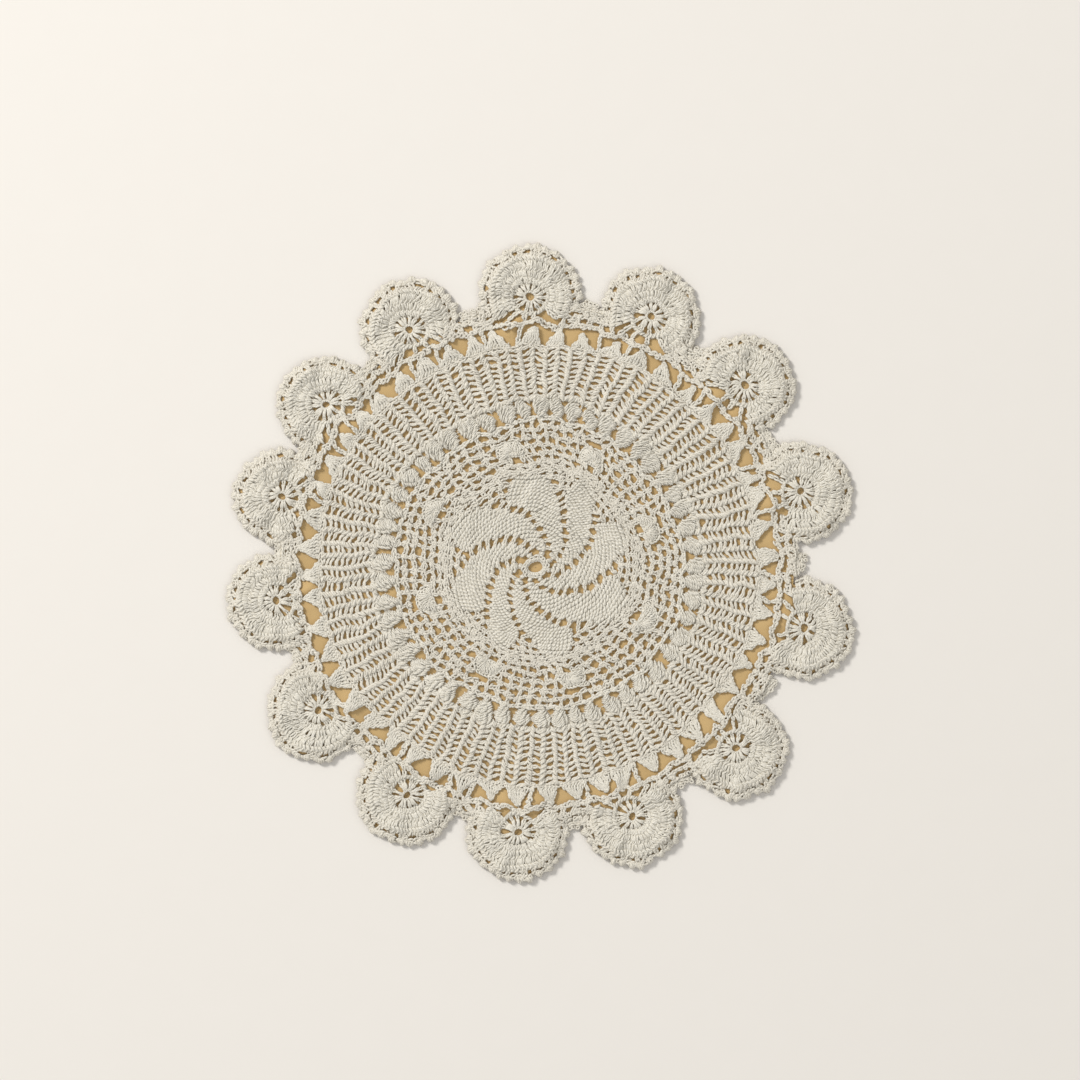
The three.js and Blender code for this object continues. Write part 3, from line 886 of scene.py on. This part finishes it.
def medallion(index, centre, radius):
    yarn = Yarn()
    outward = math.degrees(math.atan2(centre[1], centre[0]))
    rim = radius - 8.2
    reach = np.hypot(*centre) - POINT_OUTER - 3.6
    rope(yarn, ring_track(EYE_RADIUS, centre), pitch=2.6, width=0.8, z=1.0, radius=0.46)
    turns = np.arange(SPOKES) * 360 / SPOKES + rng.uniform(0, 20) + wobble(3.5, SPOKES)
    for hand in (-1, 1):
        posts(yarn, polar(2.4, turns, centre), polar(6.7, turns + 4.4 * hand, centre), z=0.7,
              lift=0.8, width=0.4, pitch=4, radius=0.66, strands=1)
    for turn in turns:
        bar = Track(np.linspace(polar(6.5, turn, centre), polar(9.2, turn + 2, centre), 5))
        chain(yarn, bar, pitch=1.7, width=rng.uniform(1.1, 1.9), z=0.6, radius=0.46)
    # The side towards the net opens into plaits, and the rest is two bands of trebles.
    half = TREBLE_SWEEP
    twill(yarn, ring_track(9.4, centre), pitch=1.9, width=1.7, z=0.8)
    for inner, outer, count in ((9.8, 13.8, 30), (14.2, rim, 43)):
        turns = outward + np.linspace(-half, half, count) + wobble(0.8, count)
        lean = wobble(1.5, count) + rng.uniform(-4, 4)
        for strand in (-1, 1):
            posts(yarn, polar(inner, turns + strand, centre),
                  polar(outer, turns + lean + 1.6 * strand, centre), z=0.8, lift=0.8, width=0.4,
                  pitch=6.0, radius=0.54, strands=1)
        between = turns[:-1] + np.diff(turns) / 2
        posts(yarn, polar(inner, between, centre), polar(outer, between, centre), z=0.4, lift=0.4,
              width=0.5, pitch=5.0, radius=0.5)
    twill(yarn, arc_track(14.0, outward - half, outward + half, centre), pitch=2.0, width=1.8,
          z=0.9, lift=0.8, radius=0.54)
    shut = outward + np.linspace(-60, 60, 14) + wobble(1.5, 14)
    posts(yarn, polar(7.0, shut, centre), polar(10.2, shut, centre), z=0.7, lift=0.5, width=0.9,
          pitch=5.0, radius=0.5)
    twill(yarn, arc_track(rim + 0.5, outward - half - 4, outward + half + 4, centre), pitch=1.9,
          width=2.2, z=1.1, lift=0.9, radius=0.58, hand=-1)
    for turn in outward + 180 + np.array([-44, -15, 15, 44]) + wobble(4, 4):
        lean = max(math.cos(math.radians(turn - outward - 180)), 0.6)
        ends = polar(9.8, turn, centre), polar(max(reach, 11.5) / lean, turn, centre)
        chain(yarn, Track(np.linspace(*ends, 6)), pitch=2.2, width=1.9, radius=0.58, loose=0.14)
        knots(yarn, np.vstack(ends), size=1.0)
    piece(f"scallop_medallion_{index + 1}", yarn, dense_cotton)


def beads(yarn, track, pitch=5.0):
    """Plump little clusters side by side along the outer side of a track."""
    middle = np.arange(1.0, track.length - 1, pitch)
    middle = middle + wobble(0.35, len(middle))
    for share in np.linspace(-1, 1, 5):
        base = track.at(middle + 1.1 * share, 0.6)
        head = track.at(middle + 1.35 * share + wobble(0.15, len(middle)), 1.1 * share**2 - 2.7)
        posts(yarn, base, head, z=0.7, lift=1.1 - 0.5 * abs(share), width=0.4, pitch=3.4,
              bow=0.45 * share, radius=0.58, strands=1)
    knots(yarn, track.at(middle + wobble(0.3, len(middle)), -1.3), size=1.15, z=1.2)


EDGING_PITCH = 4.5


def edging(index, centre, radius):
    yarn = Yarn()
    outward = math.degrees(math.atan2(centre[1], centre[0]))
    distance = np.hypot(*centre)

    def sweep(inset, low):
        """An arc inset from the scallop's edge, down to a radius of low from the pinwheel."""
        circle = radius - inset
        cosine = (low**2 - distance**2 - circle**2) / (2 * distance * circle)
        half = math.degrees(math.acos(np.clip(cosine, -1, 1)))
        angle = outward + np.arange(-half, half, 1.5)
        wave = 0.4 * np.cos(np.radians(angle) * 13 + 2 * inset) * (inset > 2)
        return Track(polar(circle + wave, angle, centre))

    line = sweep(6.7, 127.5)
    twill(yarn, line, pitch=2.3, width=2.3, z=0.8, lift=0.9, radius=0.62)
    bars = np.arange(1.0, line.length, EDGING_PITCH)
    bars = bars + wobble(0.6, len(bars))
    for s, lean in zip(bars, wobble(0.9, len(bars))):
        ends = line.at(np.array([s, s + lean]), np.array([-0.8, -3.7]))
        chain(yarn, Track(np.linspace(*ends, 5)), pitch=1.8, width=rng.uniform(2.0, 3.2), z=0.7,
              radius=0.6, loose=0.16)
        knots(yarn, ends + wobble(0.3, (2, 2)), size=0.95, z=0.8)
    chain(yarn, sweep(2.8, 130.0), pitch=2.3, width=2.1, z=0.8, radius=0.6, loose=0.2)
    beads(yarn, sweep(2.9, 131.0))
    piece(f"scallop_edging_{index + 1}", yarn, open_cotton)


centre_ring()
for number in range(BLADES):
    blade(number)
for number in range(BLADES):
    eyelet_row(number)
mesh_ground()
for number in range(BLADES):
    fan(number)
shell_round()
rib_round()
point_round()
net_round()
for number, place in enumerate(medallions):
    medallion(number, *place)
for number, place in enumerate(medallions):
    edging(number, *place)

# ---------------------------------------------------------------- the ground

CELL = 0.5
GROUND_HALF = 170.0
GROUND_LEVEL = 0.4


def spread(mask, steps):
    for _ in range(steps):
        wide = mask.copy()
        wide[1:] |= mask[:-1]
        wide[:-1] |= mask[1:]
        wide[:, 1:] |= mask[:, :-1]
        wide[:, :-1] |= mask[:, 1:]
        mask = wide
    return mask


def cotton_ground():
    """The thin back of the stitches, kept to where thread hides it and openings stay open."""
    half = GROUND_HALF
    size = int(2 * half / CELL)
    mask = np.zeros((size, size), bool)
    for paths, _, _ in coverage:
        xy = (paths[..., :2].reshape(-1, 2) + half) / CELL
        column, line = np.clip(xy.astype(int), 0, size - 1).T
        mask[line, column] = True
    mask = ~spread(~spread(mask, 1), 1)
    corner = np.cumsum(np.ones((size + 1, size + 1), int).ravel()).reshape(size + 1, size + 1) - 1
    line, column = np.nonzero(mask)
    quads = np.stack([
        corner[line, column], corner[line, column + 1],
        corner[line + 1, column + 1], corner[line + 1, column]], -1)
    used, quads = np.unique(quads, return_inverse=True)
    quads = quads.reshape(-1, 4)
    points = np.zeros((len(used), 3))
    points[:, 0] = used % (size + 1) * CELL - half
    points[:, 1] = used // (size + 1) * CELL - half
    points[:, 2] = GROUND_LEVEL
    points = (lie(points) + np.append(CENTRE, 0)) * MM
    mesh = mesh_of("cotton_ground", points, np.arange(len(quads)) * 4, quads.ravel())
    obj = bpy.data.objects.new("cotton_ground", mesh)
    bpy.context.scene.collection.objects.link(obj)
    mesh.materials.append(ground_cotton)
    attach(obj, "root")


cotton_ground()

# ---------------------------------------------------------------- floor, light, camera

FLOOR_RADIUS = 4000
FLOOR_LEVEL = -0.6
MAT_LEVEL = -0.12
LENS = 85
SENSOR_WIDTH = 36
VIEW_WIDTH = 0.545
# The middle of the view, from the middle of the pinwheel, and the height that it is set for.
VIEW_MIDDLE = np.array([0.75, 12.75])
VIEW_LEVEL = 2.0


def flat_disc(name, centre, radius, z, material, sides=96):
    ring = polar(radius, np.arange(sides) * 360 / sides, centre) + CENTRE
    points = np.column_stack([ring, np.full(sides, z)]) * MM
    mesh = mesh_of(name, points, np.array([0]), np.arange(sides))
    mesh.materials.append(material)
    obj = bpy.data.objects.new(name, mesh)
    bpy.context.scene.collection.objects.link(obj)


def soft_disc(name, centre, radius, z, material):
    """A disc that lies close under the cloth and rises where the cloth does."""
    sides, rounds = 180, int(radius / 1.5)
    ring = polar(np.linspace(0.2, radius, rounds)[:, None], np.arange(sides) * 360 / sides, centre)
    points = np.concatenate([ring, np.full((rounds, sides, 1), z)], -1).reshape(-1, 3)
    index = np.arange(rounds * sides).reshape(rounds, sides)
    quads = np.stack([index[:-1], index[1:], np.roll(index[1:], -1, 1),
                      np.roll(index[:-1], -1, 1)], -1).reshape(-1, 4)
    points = (lie(points) + np.append(CENTRE, 0)) * MM
    mesh = mesh_of(name, points, np.arange(len(quads)) * 4, quads.ravel())
    mesh.materials.append(material)
    obj = bpy.data.objects.new(name, mesh)
    bpy.context.scene.collection.objects.link(obj)


cream = speckled("floor_cream", (0.82, 0.785, 0.735), (0.815, 0.78, 0.73), 60, 0.95, 0.00001)
tan = speckled("mat_tan", (0.57, 0.40, 0.19), (0.54, 0.375, 0.175), 90, 0.9, 0.00002)
flat_disc("floor", (0, 0), FLOOR_RADIUS, FLOOR_LEVEL, cream)
soft_disc("mat", (0, 0), NET_OUTER + 2, MAT_LEVEL, tan)
for number, (centre, radius) in enumerate(medallions):
    level = MAT_LEVEL - 0.02 - 0.01 * number
    soft_disc(f"mat_{number + 1}", centre, radius - 3.6, level, tan)


def area_light(name, place, size, power, colour):
    """A round light, with its place and size in metres, turned to the doily."""
    data = bpy.data.lights.new(name, "AREA")
    data.shape = "DISK"
    data.size = size
    data.energy = power
    data.color = colour
    obj = bpy.data.objects.new(name, data)
    bpy.context.scene.collection.objects.link(obj)
    obj.location = place
    obj.rotation_euler = (-obj.location).to_track_quat("-Z", "Y").to_euler()


area_light("key", (-1.96, 1.68, 2.24), 0.84, 83, (1.0, 0.985, 0.96))
area_light("fill", (2.4, -1.6, 4.0), 4.4, 36, (0.96, 0.98, 1.0))

world = bpy.data.worlds.new("studio")
world.use_nodes = True
world.node_tree.nodes["Background"].inputs["Color"].default_value = (1.0, 0.99, 0.97, 1)
world.node_tree.nodes["Background"].inputs["Strength"].default_value = 0.5
bpy.context.scene.world = world
bpy.context.scene.view_settings.view_transform = "Standard"

camera_data = bpy.data.cameras.new("camera")
camera_data.lens = LENS
camera_data.sensor_width = SENSOR_WIDTH
camera = bpy.data.objects.new("camera", camera_data)
bpy.context.scene.collection.objects.link(camera)
aim = (CENTRE + VIEW_MIDDLE) * MM
camera.location = (*aim, VIEW_WIDTH * LENS / SENSOR_WIDTH + VIEW_LEVEL * MM)
bpy.context.scene.camera = camera
